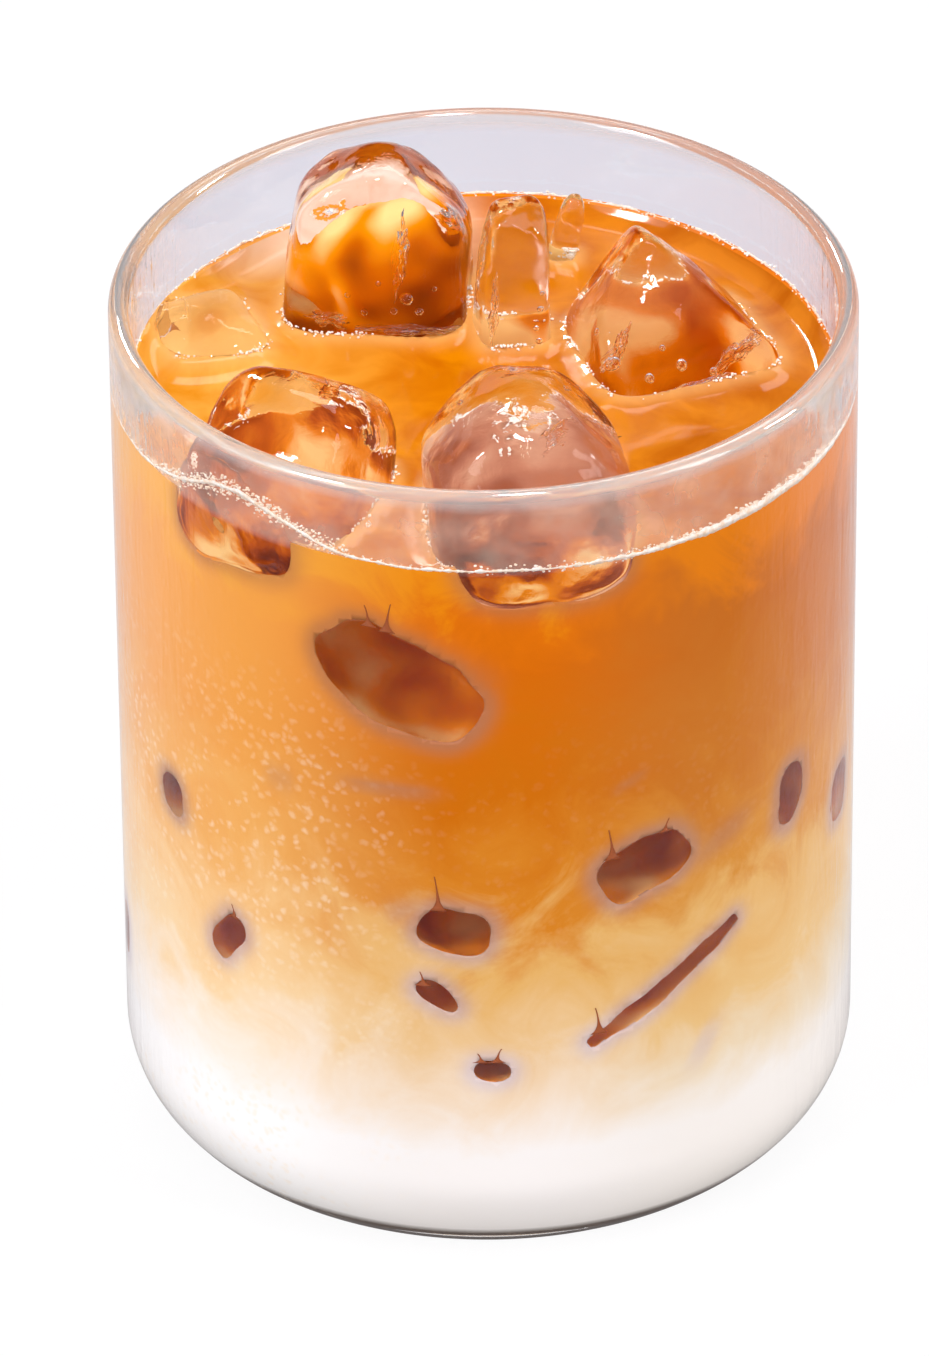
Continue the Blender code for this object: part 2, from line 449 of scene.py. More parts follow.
# %% List the windows
# Each window: degrees round from the front, height, width, height of the window, lean in
# degrees, squareness and how deep the block goes, then its spikes, each with its place
# to the side and its length. Sizes are in millimetres.
WINDOWS = {
    "upper": (-14.1, 75.4, 17.6, 11.0, -34, 2.5, 15, [(-2.9, 2.6), (-1.0, 3.6)]),
    "left_high": (-59.4, 49.9, 4.4, 5.0, 8, 2.4, 8, []),
    "right_high": (25.4, 50.3, 10.4, 7.2, 20, 2.8, 13, [(-3.6, 3.8), (2.4, 1.6)]),
    "right_edge": (55.8, 50.4, 4.4, 8.0, -8, 2.4, 8, []),
    "far_right": (74.2, 43.6, 5.5, 7.2, -6, 2.6, 8, []),
    "left_low": (-45.7, 36.3, 3.6, 7.0, -28, 2.6, 7, [(1.0, 1.6)]),
    "middle": (-5.4, 44.4, 8.0, 6.0, -12, 2.3, 11, [(-1.6, 4.4)]),
    "middle_low": (-7.9, 35.7, 5.2, 3.0, -34, 2.3, 7, [(-1.6, 1.8)]),
    "lowest": (0.6, 26.4, 4.4, 3.2, -10, 2.2, 7, [(-1.2, 1.2), (0.4, 1.8)]),
    "slot": (29.5, 33.9, 20.0, 2.5, 31, 4.0, 6, [(-7.8, 3.4)]),
    "far_left": (-84.0, 21.8, 4.0, 6.8, 0, 2.4, 6, []),
    "back_upper": (148.0, 70.0, 13.0, 8.0, 22, 2.4, 12, [(1.4, 3.0)]),
    "back_right": (112.0, 56.0, 7.0, 5.0, -16, 2.4, 9, [(-1.2, 2.6)]),
    "back_left": (-132.0, 60.0, 9.0, 6.0, 18, 2.4, 10, [(0.8, 2.4)]),
    "back_middle": (-172.0, 44.0, 6.5, 4.6, -20, 2.4, 8, [(0.6, 2.6)]),
    "back_low": (128.0, 34.0, 5.0, 4.0, 10, 2.4, 7, []),
}
BLOCK_CUTS = 15
PRESSED = 0.62


def window_frame(around, high):
    """A matrix with X along the wall, Y inwards and Z up, at a point on the inner wall."""
    turn = radians(around)
    out = Vector((sin(turn), -cos(turn), 0))
    along = Vector((cos(turn), sin(turn), 0))
    turned = Matrix((along, -out, Vector((0, 0, 1)))).transposed().to_4x4()
    return Matrix.Translation(out * INNER + Vector((0, 0, high * MM))) @ turned


def sunk_block(around, high, wide, tall, lean, square, deep, seed, grow=0.0):
    """One block whose cut by the wall is the window. grow makes it thicker or thinner."""
    bm = bmesh.new()
    bmesh.ops.create_cube(bm, size=2)
    bmesh.ops.subdivide_edges(bm, edges=bm.edges[:], cuts=BLOCK_CUTS, use_grid_fill=True)
    widest = (1 - PRESSED ** square) ** (1 / square)
    half = Vector((wide / 2 / widest, deep / 2, tall / 2 / widest)) * MM
    shift = Vector((seed * 2.3, seed * 1.1, -seed))
    leaning = Matrix.Rotation(radians(-lean), 4, "Y") @ Matrix.Translation((0, PRESSED * half.y, 0))
    for vert in bm.verts:
        vert.co /= sum(abs(x) ** square for x in vert.co) ** (1 / square)
        outward = Vector(a / b for a, b in zip(vert.co, half)).normalized()
        vert.co = Vector(a * b for a, b in zip(vert.co, half))
        vert.co += outward * (noise.noise(vert.co / (3.5 * MM) + shift) * 0.5 * MM + grow)
    bmesh.ops.transform(bm, matrix=window_frame(around, high) @ leaning, verts=bm.verts)
    return bm


sunk_bm = bmesh.new()
for seed, window in enumerate(WINDOWS.values()):
    block = sunk_block(*window[:-1], seed)
    for vert in block.verts:
        vert.co.xy *= min(1.0, ICE_REACH / vert.co.xy.length)
    add_to(sunk_bm, block)
sunk = mesh_object("ice_sunk_in_the_drink", sunk_bm)
print("sunk ice:", len(WINDOWS), "blocks,", triangles(sunk), "triangles")

# %% [markdown]
# ## The drink
#
# Milk and coffee fill the glass as one liquid, white below and brown above. It is one
# turned body, cut by the ice. Its surface isn't flat: water climbs what it wets, so it
# curls up 1 to 2 mm at the wall and round each piece of ice. The rings on the surface
# are close together, and each point is lifted by its distance to the nearest ice.

# %% Turn the body of the drink
DRINK_STEPS = 320
DRINK_STEP = 0.85 * MM
CLIMB_WIDTH = 3.4 * MM
ICE_CLIMB = 1.0 * MM
ICE_CLIMB_WIDTH = 1.9 * MM
SWELL = (14 * MM, 0.25 * MM)

drink_radius = INNER + INTO_GLASS
drink_floor = FLOOR - INTO_GLASS
corner = FOOT_ROUND - WALL


def drink_outline():
    foot = arc(drink_radius - corner, drink_floor + corner, corner, -90, 0, 14)
    steps = 9
    edge = []
    for i in range(steps + 1):
        share = i / steps
        edge.append((drink_radius - CLIMB_WIDTH * share, LEVEL + (CLIMB + 0.3 * MM) * (1 - share) ** 2.4))
    wall = line(foot[-1], edge[0], DRINK_STEP)[1:-1]
    top = line(edge[-1], (0.4 * MM, LEVEL), DRINK_STEP)[1:]
    return [(0, drink_floor), *foot, *wall, *edge, *top, (0, LEVEL)]


ice_points = []
ice_faces = []
ice_owners = []
for name, piece in [*standing.items(), ("sunk", sunk)]:
    first = len(ice_points)
    ice_points += [vert.co.copy() for vert in piece.data.vertices]
    ice_faces += [[first + i for i in face.vertices] for face in piece.data.polygons]
    ice_owners += [name] * len(piece.data.polygons)
ice_tree = BVHTree.FromPolygons(ice_points, ice_faces)


def nearest_ice(point, limit):
    """The distance to the nearest ice, up to limit, which piece it is, and whether the point is in it."""
    place, normal, index, gap = ice_tree.find_nearest(point, limit)
    if place is None:
        return limit, None, False
    return gap, ice_owners[index], (point - place).dot(normal) < 0


bm = turned_body(drink_outline(), DRINK_STEPS)
for vert in bm.verts:
    if vert.co.z > LEVEL - 0.01 * MM and vert.co.xy.length < drink_radius - 0.3 * MM:
        gap, _, inside = nearest_ice(vert.co, 8 * MM)
        if inside:
            gap = 0.0
        vert.co.z += ICE_CLIMB * exp(-gap / ICE_CLIMB_WIDTH)
        vert.co.z += noise.noise(vert.co / SWELL[0]) * SWELL[1]
drink = mesh_object("latte", bm)
print("drink before cutting:", triangles(drink), "triangles")

# %% [markdown]
# Booleans take the ice out of the drink. Each cutter is the ice made 0.1 mm thinner, so
# that the finished drink reaches that far into the ice. At the wall the cutters run on
# through the skin of the drink, which opens the windows.

# %% Cut the ice out of the drink
def thinner(bm):
    """The ice's body drawn in by INTO_ICE, and drawn out through the wall where it leans on it."""
    bm.normal_update()
    for vert, normal in [(v, v.normal.copy()) for v in bm.verts]:
        vert.co -= normal * INTO_ICE
    for vert in bm.verts:
        out = vert.co.xy.length
        if out > LEANS_FROM:
            share = min(1.0, (out - LEANS_FROM) / (SOLID_STOP - LEANS_FROM))
            vert.co.xy *= (out + share * 1.6 * MM) / out
    return bm


cutters = [mesh_object("cutter", thinner(bm)) for bm in ice_bodies.values()]
for seed, window in enumerate(WINDOWS.values()):
    cutters.append(mesh_object("cutter", sunk_block(*window[:-1], seed, grow=-INTO_ICE)))
for cutter in cutters:
    hollow = drink.modifiers.new("hollow", "BOOLEAN")
    hollow.operation = "DIFFERENCE"
    hollow.object = cutter
    hollow.solver = "MANIFOLD"
as_seen(drink)
for cutter in cutters:
    bpy.data.objects.remove(cutter)
print("drink after cutting:", triangles(drink), "triangles")

# %% [markdown]
# ## What the drink's colour depends on
#
# Milky coffee looks orange because milk throws back red light more than blue. Where ice
# lies close behind the skin of the drink there is less milk to throw light back, and the
# skin turns a cool mauve brown. Each point keeps that as `ice_near`, from 0 to 1, and a
# few soft patches are added where a piece stays a millimetre short of the wall.
# The hollows in the drink are lit by what comes through their ice, and that light is painted
# into their colour: each has its own painted light, brighter on faces that look up, and the
# ones in front get a painted mauve for the grey that their ice reflects.

# %% Measure how near the ice is
MAUVE_REACH = 1.7 * MM
TOUCHING = 0.35 * MM

# painted light, painted mauve reflection and cloudiness of the hollow under each standing piece
HOLLOW_LOOKS = {
    "ice_back_left": (0.58, 0.0, 0.8),
    "ice_back_middle": (0.85, 0.1, 0.8),
    "ice_chip": (0.8, 0.1, 0.4),
    "ice_front_left": (0.36, 0.1, 0.9),
    "ice_front_middle": (0.40, 0.85, 0.8),
    "ice_left": (1.05, 0.0, 0.3),
    "ice_right": (0.76, 0.3, 0.9),
}
# Ice just behind the skin: degrees round, height, half width and half height, lean, strength
FAINT = [
    (-15.6, 61.9, 5.0, 0.9, 0, 0.75),
    (-34.5, 59.9, 1.8, 1.6, 0, 0.4),
    (23.0, 61.5, 2.0, 0.6, 25, 0.45),
    (39.0, 50.2, 5.0, 1.7, 22, 0.55),
    (36.5, 24.4, 1.3, 3.0, -32, 0.6),
    (-12.5, 46.6, 2.6, 1.6, 20, 0.6),
    (-21.0, 78.5, 2.2, 2.2, 0, 0.35),
    (-4.0, 78.0, 4.6, 1.8, -35, 0.5),
]


def faint_ice(point):
    """How much ice shows faintly through the skin at a point, from 0 to 1."""
    most = 0.0
    if point.xy.length > drink_radius - 0.5 * MM:
        around = atan2(point.x, -point.y)
        for at, high, half_wide, half_tall, lean, strength in FAINT:
            side = (around - radians(at)) * drink_radius / MM
            up = point.z / MM - high
            turn = radians(lean)
            along = (side * cos(turn) + up * sin(turn)) / half_wide
            across = (up * cos(turn) - side * sin(turn)) / half_tall
            if abs(along) < 4 and abs(across) < 4:
                most = max(most, strength * exp(-along ** 4 - across ** 2))
    return most


def mark_ice(piece):
    """Stores ice_near and the hollows' painted light and painted mauve at each point."""
    names = ("ice_near", "painted_hollow_light", "mauve")
    marks = {name: piece.data.attributes.new(name, "FLOAT", "POINT") for name in names}
    for i, vert in enumerate(piece.data.vertices):
        gap, closest, _ = nearest_ice(vert.co, 3 * MAUVE_REACH)
        near = exp(-(gap / MAUVE_REACH) ** 2 * 2)
        marks["ice_near"].data[i].value = max(near, faint_ice(vert.co))
        cloud = noise.noise(vert.co / (4.5 * MM) + Vector((7, 3, 1)))
        # Painted light and shade in the hollows: brighter on faces that look up, and under standing ice also
        # darker lower down, where the painted mauve fades too.
        if closest in HOLLOW_LOOKS:
            painted_hollow_light, mauve, cloudy = HOLLOW_LOOKS[closest]
            deep = (LEVEL - vert.co.z) / (12 * MM)
            marks["painted_hollow_light"].data[i].value = painted_hollow_light + 0.12 - 0.16 * deep + cloudy * cloud + 0.1 * vert.normal.z
            marks["mauve"].data[i].value = mauve * max(0.0, min(1.0, 1.35 - deep * 2.6))
        else:
            marks["painted_hollow_light"].data[i].value = 0.50 + 0.26 * max(0.0, vert.normal.z) + 0.45 * cloud
            marks["mauve"].data[i].value = 0.0


mark_ice(drink)

# %% [markdown]
# ## The milky coffee
#
# Against the wall the drink is white up to about 20 mm, then straw, then orange, with
# soft tongues where coffee has sunk into milk. Light and shade are painted across it:
# paler on the left, where the key lamp falls, and browner on the right. Three colour
# ramps by height, one for each side and one for the middle, are mixed across the glass.
# Noise moves the height up and down before it is looked up: 12 mm billows with finer curls
# in them. Low down on the left, pale millimetre dots mottle it: painted highlights of dew
# drops on the outside of the glass. The last millimetre above the thick base gets no light,
# so it is painted dark: painted shade.

# %% Blend three colours across the glass
def paint_light_and_shade_across(tree, across, middle, left, right):
    """Blends the colour in the middle into a paler, lit one at the left and a browner, shaded one at the
    right: painted light and shade.
    """
    to_left = add_node(
        tree, "MapRange", {"interpolation_type": "SMOOTHSTEP"}, {1: -3 * MM, 2: -27 * MM}, {0: across},
    )
    to_right = add_node(
        tree, "MapRange", {"interpolation_type": "SMOOTHSTEP"}, {1: 4 * MM, 2: 24 * MM}, {0: across},
    )
    first = add_node(tree, "Mix", {"data_type": "RGBA"}, links={0: to_left, 6: middle, 7: left})
    last = add_node(
        tree, "Mix", {"data_type": "RGBA"}, links={0: to_right, 6: first.outputs[2], 7: right},
    )
    return last.outputs[2]


# %% The drink against the glass
BILLOW = 12 * MM
DEW_GLINT_SIZE = 1.2 * MM


def latte_against_glass():
    material, tree = new_material("latte_against_glass")
    place = add_node(tree, "TexCoord").outputs["Object"]
    axes = add_node(tree, "SeparateXYZ", links={0: place})
    billow = add_node(
        tree, "TexNoise", {}, {"Scale": 1 / BILLOW, "Detail": 6.0, "Roughness": 0.6, "Distortion": 1.2},
        {"Vector": place},
    )
    lifted = add_node(tree, "MapRange", values={1: 0.3, 2: 0.7, 3: -6 * MM, 4: 6 * MM}, links={0: billow})
    calm = add_node(
        tree, "MapRange", values={1: 14 * MM, 2: 34 * MM, 3: 0.1, 4: 1.0}, links={0: axes.outputs[2]},
    )
    moved = add_node(
        tree, "Math", {"operation": "MULTIPLY_ADD"}, links={0: lifted, 1: calm, 2: axes.outputs[2]},
    )
    height = add_node(tree, "MapRange", values={1: 0.0, 2: 0.1}, links={0: moved})
    # Painted light and shade: the left ramp is paler, lit by the key lamp, and the right one browner, in
    # shade.
    left = add_node(
        tree, "ValToRGB", links={0: height},
        stops=[(0.15, "FFFDFB"), (0.22, "FDEDDA"), (0.30, "F9D7A6"), (0.40, "F6C689"),
               (0.52, "EFAD5E"), (0.66, "EDA04B"), (0.80, "EFA049"), (0.88, "F3AB46")],
    )
    middle = add_node(
        tree, "ValToRGB", links={0: height},
        stops=[(0.15, "FAF5F1"), (0.21, "F5DFC6"), (0.30, "EDC691"), (0.40, "E6B267"),
               (0.49, "D88321"), (0.62, "CF6E03"), (0.78, "D66A00"), (0.84, "DF7000"), (0.88, "EB8A03")],
    )
    right = add_node(
        tree, "ValToRGB", links={0: height},
        stops=[(0.15, "F8F2EB"), (0.22, "EFDAB9"), (0.30, "EBC282"), (0.40, "E6B36B"),
               (0.48, "D89039"), (0.62, "CA782A"), (0.80, "C56C1F"), (0.88, "E27D10")],
    )
    milky = paint_light_and_shade_across(tree, axes, middle, left, right)
    # Painted shade: the last millimetre above the base is mixed to a dark grey brown.
    foot = add_node(
        tree, "MapRange", values={1: FLOOR + 0.9 * MM, 2: FLOOR + 0.2 * MM}, links={0: axes.outputs[2]},
    )
    mixed = add_node(
        tree, "Mix", {"data_type": "RGBA"}, {7: linear("665648")}, {0: foot, 6: milky},
    ).outputs[2]
    ruffle = add_node(tree, "TexNoise", {}, {"Scale": 1 / (1.6 * MM), "Detail": 2.0}, {"Vector": place})
    ruffled = add_node(
        tree, "VectorMath", {"operation": "MULTIPLY_ADD"}, {1: (1.6 * MM, 1.6 * MM, 1.6 * MM)},
        {0: ruffle.outputs["Color"], 2: place},
    )
    # Painted highlights: pale dots, low on the left, stand for the glints of dew drops on the outside of the
    # glass.
    bubbles = add_node(
        tree, "TexVoronoi", {}, {"Scale": 1 / DEW_GLINT_SIZE, "Randomness": 1.0}, {"Vector": ruffled},
    )
    dots = add_node(tree, "MapRange", values={1: 0.45, 2: 0.15}, links={0: bubbles.outputs["Distance"]})
    patch = add_node(tree, "TexNoise", {}, {"Scale": 1 / (9 * MM), "Detail": 2.0}, {"Vector": place})
    here = add_node(tree, "MapRange", values={1: 0.36, 2: 0.6, 3: 0.0, 4: 0.36}, links={0: patch})
    leftwards = add_node(
        tree, "MapRange", values={1: -6 * MM, 2: -16 * MM, 3: 0.1, 4: 1.0}, links={0: axes},
    )
    lower = add_node(tree, "MapRange", values={1: 76 * MM, 2: 56 * MM}, links={0: axes.outputs[2]})
    amount = dots
    for mask in (here, leftwards, lower):
        amount = add_node(tree, "Math", {"operation": "MULTIPLY"}, links={0: amount, 1: mask})
    with_dew_glints = add_node(tree, "Mix", {"data_type": "RGBA"}, {7: linear("FDEAD0")}, {0: amount, 6: mixed})
    near = add_node(tree, "Attribute", {"attribute_name": "ice_near"})
    veil = add_node(tree, "Math", {"operation": "MULTIPLY"}, {1: 0.75}, {0: near.outputs["Fac"]})
    cool = add_node(
        tree, "ValToRGB", links={0: height},
        stops=[(0.2, "DCCFD8"), (0.35, "C4A6A6"), (0.5, "AE8272"), (0.8, "B07048")],
    )
    colour = add_node(tree, "Mix", {"data_type": "RGBA"}, links={0: veil, 6: with_dew_glints.outputs[2], 7: cool})
    body = add_node(
        tree, "BsdfPrincipled", values={"Roughness": 0.4, "IOR": 1.34, "Specular IOR Level": 0.1},
        links={"Base Color": colour.outputs[2]},
    )
    add_node(tree, "OutputMaterial", links={"Surface": body})
    return material


# %% [markdown]
# The top is open and wet, so it is glossy. It is amber, with streaks about 9 mm apart, and
# light and shade are painted across it: paler at the left, where the key lamp falls, and
# browner at the right. Cream gathers against the ice and behind the tall block.

# %% The open surface
STREAK = 9 * MM


def latte_open_surface():
    material, tree = new_material("latte_open_surface")
    place = add_node(tree, "TexCoord").outputs["Object"]
    axes = add_node(tree, "SeparateXYZ", links={0: place})
    streaks = add_node(
        tree, "TexNoise", {}, {"Scale": 1 / STREAK, "Detail": 4.0, "Roughness": 0.5, "Distortion": 1.0},
        {"Vector": place},
    )
    # Painted light and shade: a paler amber for the lit left and a browner one for the shaded right.
    amber = add_node(tree, "ValToRGB", links={0: streaks}, stops=[(0.35, "C86600"), (0.65, "DE8000")])
    pale_painted_light = add_node(tree, "ValToRGB", links={0: streaks}, stops=[(0.35, "DC8614"), (0.65, "ECA644")])
    brown_painted_shade = add_node(tree, "ValToRGB", links={0: streaks}, stops=[(0.35, "BA5E08"), (0.65, "D67C1C")])
    mixed = paint_light_and_shade_across(tree, axes, amber, pale_painted_light, brown_painted_shade)
    near = add_node(tree, "Attribute", {"attribute_name": "ice_near"})
    edge = add_node(tree, "Math", {"operation": "MULTIPLY"}, {1: 0.4}, {0: near.outputs["Fac"]})
    creamed = add_node(tree, "Mix", {"data_type": "RGBA"}, {7: linear("F6C27C")}, {0: edge, 6: mixed})
    backwards = add_node(tree, "MapRange", values={1: 22 * MM, 2: 31 * MM}, links={0: axes.outputs[1]})
    leftwards = add_node(tree, "MapRange", values={1: 2 * MM, 2: -8 * MM}, links={0: axes})
    gathered = add_node(tree, "MapRange", values={1: 0.25, 2: 0.65, 3: 0.35, 4: 0.9}, links={0: streaks})
    foamy = gathered
    for mask in (backwards, leftwards):
        foamy = add_node(tree, "Math", {"operation": "MULTIPLY"}, links={0: foamy, 1: mask})
    colour = add_node(
        tree, "Mix", {"data_type": "RGBA"}, {7: linear("F2E2D2")}, {0: foamy, 6: creamed.outputs[2]},
    )
    body = add_node(
        tree, "BsdfPrincipled", values={"Roughness": 0.06, "IOR": 1.34, "Specular IOR Level": 0.28},
        links={"Base Color": colour.outputs[2]},
    )
    add_node(tree, "OutputMaterial", links={"Surface": body})
    return material


# %% [markdown]
# In the hollows the drink is seen through ice. Little light gets there, and that light and shade
# are painted into the colour: it runs from a deep red brown to amber by the painted light stored
# at each point, and to a cool brown by the painted mauve. It has no gloss of its own, because
# ice covers it.

# %% The drink round the ice
def latte_round_ice():
    material, tree = new_material("latte_round_ice")
    painted_hollow_light = add_node(tree, "Attribute", {"attribute_name": "painted_hollow_light"})
    mauve = add_node(tree, "Attribute", {"attribute_name": "mauve"})
    # Painted light and shade: the hollow's colour goes from dark to bright by its painted light, and to a
    # cool brown by its painted mauve.
    warm = add_node(
        tree, "ValToRGB", links={0: painted_hollow_light.outputs["Fac"]},
        stops=[(0.0, "5A1E04"), (0.25, "963E06"), (0.45, "C65E02"), (0.7, "EE8C06"), (1.0, "FFD488")],
    )
    cool = add_node(
        tree, "ValToRGB", links={0: painted_hollow_light.outputs["Fac"]},
        stops=[(0.0, "6A3C34"), (0.3, "96604E"), (0.6, "BC8470"), (1.0, "E4B8A0")],
    )
    colour = add_node(
        tree, "Mix", {"data_type": "RGBA"}, links={0: mauve.outputs["Fac"], 6: warm, 7: cool},
    )
    body = add_node(
        tree, "BsdfPrincipled", values={"Roughness": 0.6, "IOR": 1.34, "Specular IOR Level": 0.0},
        links={"Base Color": colour.outputs[2]},
    )
    add_node(tree, "OutputMaterial", links={"Surface": body})
    return material


# %% [markdown]
# Each face of the drink gets one of the three finishes: the top is open, what lies within
# a third of a millimetre of ice is a hollow, and the rest is against the glass.

# %% Give each face its finish
AGAINST_GLASS, OPEN, ROUND_ICE = range(3)
drink.data.materials.clear()
for finish in (latte_against_glass(), latte_open_surface(), latte_round_ice()):
    drink.data.materials.append(finish)
for face in drink.data.polygons:
    inside = face.center.xy.length < drink_radius - 0.2 * MM
    on_top = inside and face.center.z > LEVEL - 0.3 * MM and face.normal.z > 0.35
    if on_top:
        face.material_index = OPEN
    elif inside and nearest_ice(face.center, TOUCHING)[0] < TOUCHING:
        face.material_index = ROUND_ICE
    else:
        face.material_index = AGAINST_GLASS
drink.data.shade_smooth()
drink.data.set_sharp_from_angle(angle=radians(50))
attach(drink, "root")
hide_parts("milk", "coffee")
in_hollows = sum(face.material_index == ROUND_ICE for face in drink.data.polygons)
print("drink:", len(drink.data.polygons), "faces,", in_hollows, "of them round ice")

# %% [markdown]
# The tall block at the back still has the hollow that its machine left, and it is full
# of coffee. Its light and shade are painted, as in the other hollows: dark in the middle,
# amber at the left, where the key lamp falls, and pale at the top, where cream floats and
# more light comes in. It is a dented ball inside the ice, with the finish of the other hollows.

# %% Fill the hollow of the tall ice
FILLED_AT = Vector((-10.6, 18.6, 92.2)) * MM
FILLED_HALF = Vector((8.2, 5.4, 7.8)) * MM

bm = bmesh.new()
bmesh.ops.create_icosphere(bm, subdivisions=5, radius=1)
for vert in bm.verts:
    bump = 1 + 0.2 * noise.noise(vert.co * 1.6 + Vector((3, 8, 2)))
    vert.co = FILLED_AT + Vector(a * b for a, b in zip(vert.co, FILLED_HALF)) * bump
filled = mesh_object("coffee_in_the_tall_ice", bm, drink.data.materials[ROUND_ICE])
painted_hollow_light_mark = filled.data.attributes.new("painted_hollow_light", "FLOAT", "POINT")
filled.data.attributes.new("mauve", "FLOAT", "POINT")
# Painted light and shade: darker in the middle, lighter towards the left and the top.
for i, vert in enumerate(filled.data.vertices):
    across = (vert.co.x - FILLED_AT.x) / FILLED_HALF.x
    up = (vert.co.z - FILLED_AT.z) / FILLED_HALF.z
    cloud = noise.noise(vert.co / (4 * MM) + Vector((1, 5, 9)))
    painted_hollow_light_mark.data[i].value = 0.46 - 0.2 * across + 0.7 * max(0.0, up - 0.45) + 0.4 * cloud
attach(filled, "root")
print("coffee in the tall ice:", triangles(filled), "triangles")

# %% [markdown]
# ## Spikes of meltwater
#
# Meltwater creeps up between the milk and the glass from the top of a window, in dark
# spikes a few tenths of a millimetre wide. Their dark brown is painted shade, for the narrow
# gap that little light reaches. Each is a thin curved horn. It lies in the skin of the wall,
# just in front of the drink, and starts on the edge of its window.

# %% Add the spikes
SPIKE_FOOT = 0.95 * MM
SPIKE_TIP = 0.05 * MM
SPIKE_SKIN = (0.02 * MM, 0.05 * MM)
SPIKE_STEPS = 12
SPIKE_SINKS = 0.5
SEARCH_FROM = 14.0
SEARCH_STEP = 0.1


def edge_height(wide, tall, lean, square, side):
    """The height of a window's upper edge over its middle, side millimetres across from it."""
    turn = radians(lean)
    for step in range(200):
        up = SEARCH_FROM - step * SEARCH_STEP
        along = (side * cos(turn) + up * sin(turn)) / (wide / 2)
        across = (up * cos(turn) - side * sin(turn)) / (tall / 2)
        if abs(along) ** square + abs(across) ** square < 1:
            return up
    return 0.0


def spike(around, start, side, length, bend):
    """A cube drawn up into a horn that narrows quickly, then slowly, and bends to one side."""
    horn = bmesh.new()
    bmesh.ops.create_cube(horn, size=2)
    upright = [edge for edge in horn.edges if edge.verts[0].co.z * edge.verts[1].co.z < 0]
    bmesh.ops.subdivide_edges(horn, edges=upright, cuts=SPIKE_STEPS - 1)
    for vert in horn.verts:
        share = (vert.co.z + 1) / 2
        half = SPIKE_TIP + (SPIKE_FOOT - SPIKE_TIP) * exp(-4.5 * share) * (1 - share)
        along = (side + bend * share * share) * MM + half * vert.co.x
        turn = radians(around) + along / drink_radius
        reach = drink_radius + SPIKE_SKIN[vert.co.y > 0]
        vert.co = (sin(turn) * reach, -cos(turn) * reach, (start + share * length) * MM)
    return horn


# Painted shade: an opaque dark brown stands for the shade in the thin gap of meltwater.
spike_shade_material, tree = new_material("meltwater_in_painted_shade")
dark = add_node(
    tree, "BsdfPrincipled",
    values={"Base Color": linear("9A5230"), "Roughness": 0.5, "IOR": 1.33, "Specular IOR Level": 0.1},
)
add_node(tree, "OutputMaterial", links={"Surface": dark})

bm = bmesh.new()
for around, high, wide, tall, lean, square, _, horns in WINDOWS.values():
    for count, (side, length) in enumerate(horns):
        start = high + edge_height(wide, tall, lean, square, side) - SPIKE_SINKS
        add_to(bm, spike(around, start, side, length, 0.5 if count else -0.4))
bmesh.ops.recalc_face_normals(bm, faces=bm.faces)
spikes = mesh_object("meltwater_spikes", bm, spike_shade_material)
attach(spikes, "root")
print("spikes:", triangles(spikes), "triangles")

# %% [markdown]
# ## Clear ice
#
# Water ice has an IOR of 1.31. Here it is 1.25, because real half melted ice has flatter
# faces than these and so bends light less. It has no colour of its own: all its amber is
# coffee seen through it. Its skin is wet and smooth, with faint dimples 2 mm wide.
#
# What sparkles in ice is air. A bubble is a ball whose faces point inwards, so that a ray
# leaves the ice on entering it. A crack is such a ball pressed flat and crumpled.

# %% Put air into the ice
# Bubbles: centre and radius. Cracks: centre, half sizes and turn. Millimetres and degrees.
BUBBLES = [
    ((-8.2, 11.9, 92.6), 0.75), ((-9.6, 11.6, 91.2), 0.45), ((-6.9, 12.2, 91.0), 0.5),
    ((-12.8, 12.4, 90.6), 0.4), ((-5.4, 12.6, 93.4), 0.3), ((-14.6, 13.2, 92.4), 0.35),
    ((-11.2, 12.0, 94.4), 0.3),
    ((6.0, 9.4, 92.6), 0.35), ((5.6, 9.0, 90.4), 0.3), ((5.9, 8.8, 88.9), 0.35), ((6.2, 9.4, 94.6), 0.25),
    ((14.0, 1.2, 90.6), 0.7), ((17.5, 1.4, 88.8), 0.5), ((21.0, 1.6, 90.2), 0.6), ((24.4, 2.4, 89.0), 0.45),
    ((12.4, 3.0, 93.4), 0.4), ((19.0, 1.8, 92.0), 0.35), ((-17.2, -12.4, 92.0), 0.7),
    ((-20.6, -12.8, 94.2), 0.35), ((-26.6, 6.4, 89.4), 0.4), ((3.0, -16.0, 97.2), 0.6),
    ((6.4, -15.6, 95.2), 0.4), ((0.6, -16.2, 94.0), 0.3),
]
CRACKS = [
    ((-8.8, 12.6, 97.6), (0.25, 1.6, 3.6), (4, 6, 20)),
    ((-3.4, 15.0, 99.4), (1.6, 0.35, 2.4), (30, 20, -40)),
    ((-16.6, 12.8, 89.6), (2.0, 0.4, 0.8), (10, 14, 12)),
    ((-8.0, 11.9, 88.8), (4.6, 0.4, 0.5), (0, 3, 4)),
    ((1.2, 8.6, 93.4), (0.35, 0.4, 3.8), (0, 4, 0)),
    ((14.6, 2.4, 91.8), (0.45, 0.5, 2.6), (0, 18, 0)),
    ((20.4, 1.0, 87.2), (6.0, 0.5, 0.5), (0, -12, 14)),
    ((26.8, 4.4, 90.0), (2.8, 0.4, 1.2), (20, -24, 30)),
    ((-14.0, -13.0, 93.8), (2.4, 0.4, 1.5), (20, 12, -14)),
    ((9.6, -18.0, 92.0), (3.6, 0.5, 0.6), (0, -10, 10)),
]


